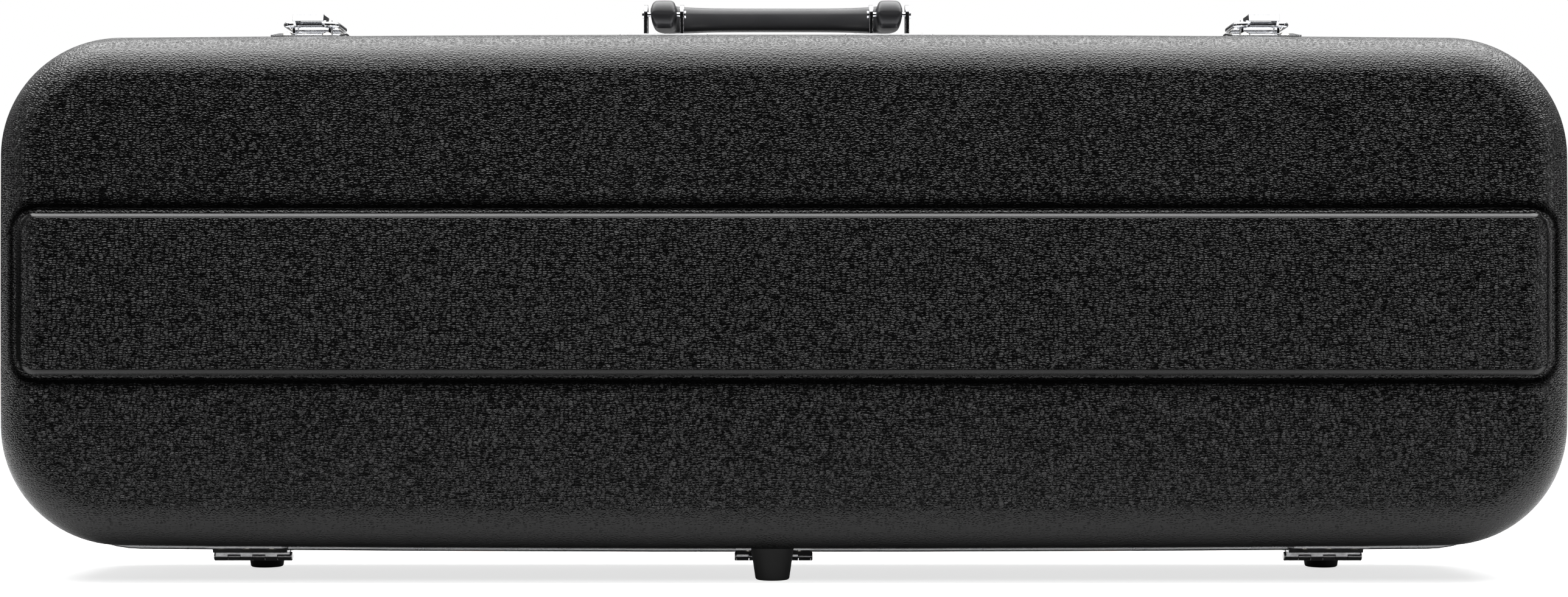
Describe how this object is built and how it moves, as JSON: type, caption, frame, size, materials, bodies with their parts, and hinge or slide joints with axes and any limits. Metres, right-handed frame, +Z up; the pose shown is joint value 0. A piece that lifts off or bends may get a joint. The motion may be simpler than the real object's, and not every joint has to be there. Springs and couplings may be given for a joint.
{
  "type": "violin case",
  "caption": "Oblong hard violin case with two grained half shells, a metal rail, hinges, draw latches, folding handle, feet and a padded, violin-shaped interior.",
  "frame": {"origin": "on the floor, under the middle of the case, in the plane where the two halves meet", "axes": "+X along the case towards the scroll's end, +Y from the lid towards the base, +Z up, with the case standing on its feet along its hinge edge"},
  "size_m": [0.81, 0.132, 0.305],
  "materials": {
    "abs_shell": "satin",
    "rail": "satin",
    "chrome": "polished",
    "packing": "matte",
    "screw_steel": "satin",
    "foot_rubber": "matte",
    "handle_plastic": "satin",
    "plush": "matte",
    "lid_plush": "matte",
    "webbing": "matte",
    "brass_hinge": "satin",
    "clip_plastic": "gloss"
  },
  "bodies": {
    "base": {"base_shell": "abs_shell", "base_rail": "rail", "hinge_leaf_base_left": "chrome", "hinge_leaf_base_middle": "chrome", "hinge_leaf_base_right": "chrome", "hinge_pin_left": "chrome", "hinge_pin_middle": "chrome", "hinge_pin_right": "chrome", "hinge_rivets_base": "chrome", "foot_rear_left": "foot_rubber", "foot_rear_right": "foot_rubber", "foot_screws_rear": "screw_steel", "latch_keeper_left": "chrome", "latch_keeper_right": "chrome", "latch_rivets_base": "chrome", "latch_packers_base": "packing", "handle_bracket_left": "chrome", "handle_bracket_right": "chrome", "handle_pin_left": "chrome", "handle_pin_right": "chrome", "handle_rivets": "chrome", "handle_packers": "packing", "base_insert": "plush", "violin_pad_lower": "plush", "violin_pad_upper": "plush", "neck_cradle": "plush", "neck_strap": "webbing", "compartment_hinge_leaf": "brass_hinge", "compartment_pin": "brass_hinge"},
    "lid": {"lid_shell": "abs_shell", "lid_rail": "rail", "hinge_leaf_lid_left": "chrome", "hinge_leaf_lid_middle": "chrome", "hinge_leaf_lid_right": "chrome", "hinge_rivets_lid": "chrome", "foot_front": "foot_rubber", "foot_screw_front": "screw_steel", "latch_plate_left": "chrome", "latch_plate_right": "chrome", "latch_pin_left": "chrome", "latch_pin_right": "chrome", "latch_rivets_lid": "chrome", "latch_packers_lid": "packing", "lid_lining": "lid_plush", "lid_pad": "lid_plush", "bow_holder_lower": "clip_plastic", "bow_holder_upper": "clip_plastic", "bow_screw_lower": "screw_steel", "bow_screw_upper": "screw_steel", "bow_tip_pockets": "lid_plush"},
    "handle": {"handle_grip": "handle_plastic"},
    "latch_left": {"latch_lever_left": "chrome"},
    "latch_left_bail": {"latch_bail_left": "chrome"},
    "latch_right": {"latch_lever_right": "chrome"},
    "latch_right_bail": {"latch_bail_right": "chrome"},
    "compartment": {"compartment_lid": "plush", "compartment_pull_tab": "webbing"},
    "bow_clip_lower": {"bow_clip_lower": "clip_plastic"},
    "bow_clip_upper": {"bow_clip_upper": "clip_plastic"}
  },
  "joints": [
    {"name": "lid_hinge", "type": "hinge", "parent": "base", "child": "lid", "pos_m": [0, 0, 0.00895], "axis": [1, 0, 0], "range_deg": [0, 105]},
    {"name": "handle_pivot", "type": "hinge", "parent": "base", "child": "handle", "pos_m": [-0.004, 0.009, 0.2975], "axis": [1, 0, 0], "range_deg": [0, 170]},
    {"name": "latch_left_lever", "type": "hinge", "parent": "lid", "child": "latch_left", "pos_m": [-0.251, -0.008, 0.2892], "axis": [-1, 0, 0], "range_deg": [0, 105]},
    {"name": "latch_left_bail", "type": "hinge", "parent": "latch_left", "child": "latch_left_bail", "pos_m": [-0.251, -0.013, 0.2891], "axis": [-1, 0, 0], "range_deg": [-122, 0]},
    {"name": "latch_right_lever", "type": "hinge", "parent": "lid", "child": "latch_right", "pos_m": [0.251, -0.008, 0.2892], "axis": [-1, 0, 0], "range_deg": [0, 105]},
    {"name": "latch_right_bail", "type": "hinge", "parent": "latch_right", "child": "latch_right_bail", "pos_m": [0.251, -0.013, 0.2891], "axis": [-1, 0, 0], "range_deg": [-122, 0]},
    {"name": "compartment_hinge", "type": "hinge", "parent": "base", "child": "compartment", "pos_m": [0.3806, 0.0052, 0.1482], "axis": [0, 0, 1], "range_deg": [0, 90]},
    {"name": "bow_clip_lower_turn", "type": "hinge", "parent": "lid", "child": "bow_clip_lower", "pos_m": [0.262, -0.039, 0.0945], "axis": [0, 1, 0], "range_deg": [0, 90]},
    {"name": "bow_clip_upper_turn", "type": "hinge", "parent": "lid", "child": "bow_clip_upper", "pos_m": [0.262, -0.039, 0.2185], "axis": [0, 1, 0], "range_deg": [0, 90]}
  ],
  "couplings": [
    {"joint": "latch_left_bail", "follows": "latch_left_lever", "ratio": -1.15},
    {"joint": "latch_right_bail", "follows": "latch_right_lever", "ratio": -1.15}
  ]
}
